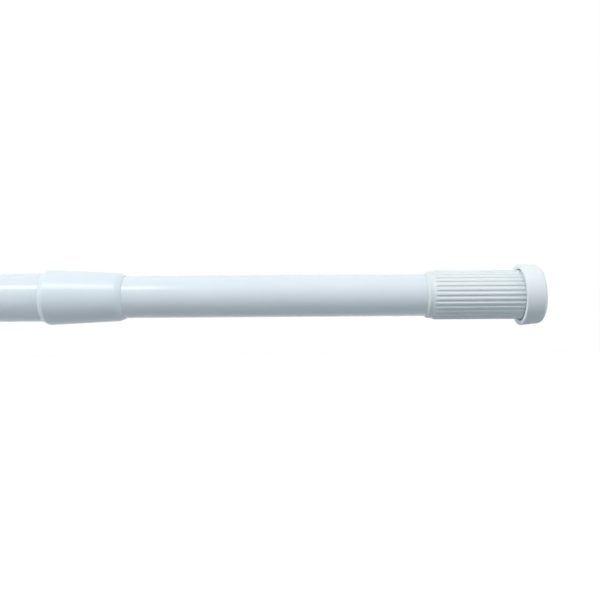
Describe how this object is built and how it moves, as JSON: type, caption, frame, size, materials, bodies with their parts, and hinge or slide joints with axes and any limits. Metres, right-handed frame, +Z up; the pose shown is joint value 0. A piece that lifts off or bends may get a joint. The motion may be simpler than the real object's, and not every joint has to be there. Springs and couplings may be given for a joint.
{
  "type": "extendable curtain rod",
  "caption": "White telescopic tension curtain rod: tapered collar, twist lock with spring inside, ribbed grips and soft wall feet, clamps between two walls without screws.",
  "frame": {"origin": "centre of the left foot's wall face", "axes": "+X along the rod, from the left foot to the right foot; +Z up; the pictured side looks along -Y"},
  "size_m": [0.8544, 0.0348, 0.0348],
  "materials": {
    "white_enamel": "gloss",
    "white_plastic": "satin",
    "soft_foot": "matte",
    "natural_nylon": "satin",
    "spring_steel": "satin",
    "zinc_steel": "satin"
  },
  "bodies": {
    "outer_section": {"outer_tube": "white_enamel", "collar": "white_plastic", "left_grip": "white_plastic", "left_foot": "soft_foot"},
    "lock_section": {"lock_collet": "natural_nylon"},
    "nut_section": {"cone_nut": "natural_nylon"},
    "spindle_section": {"spindle": "zinc_steel", "thrust_washer": "zinc_steel", "retaining_clip": "zinc_steel", "tension_spring": "spring_steel"},
    "inner_section": {"inner_tube": "white_enamel", "guide_bush": "natural_nylon", "spring_stop": "natural_nylon", "right_grip": "white_plastic", "right_foot": "soft_foot"}
  },
  "joints": [
    {"name": "extend", "type": "slide", "parent": "outer_section", "child": "lock_section", "axis": [1, 0, 0], "range_m": [-0.1355, 0.3456]},
    {"name": "twist", "type": "hinge", "parent": "lock_section", "child": "spindle_section", "pos_m": [0.2, 0, 0], "axis": [1, 0, 0], "range_deg": [0, 360]},
    {"name": "release", "type": "slide", "parent": "lock_section", "child": "nut_section", "axis": [1, 0, 0], "range_m": [-0.002, 0]},
    {"name": "squeeze", "type": "slide", "parent": "spindle_section", "child": "inner_section", "axis": [1, 0, 0], "range_m": [-0.02, 0], "stiffness_N_per_m": 6900, "springref_m": 0.005, "deforming": ["tension_spring"]}
  ],
  "couplings": [
    {"joint": "release", "follows": "twist", "m_per_rad": -0.00031831}
  ]
}
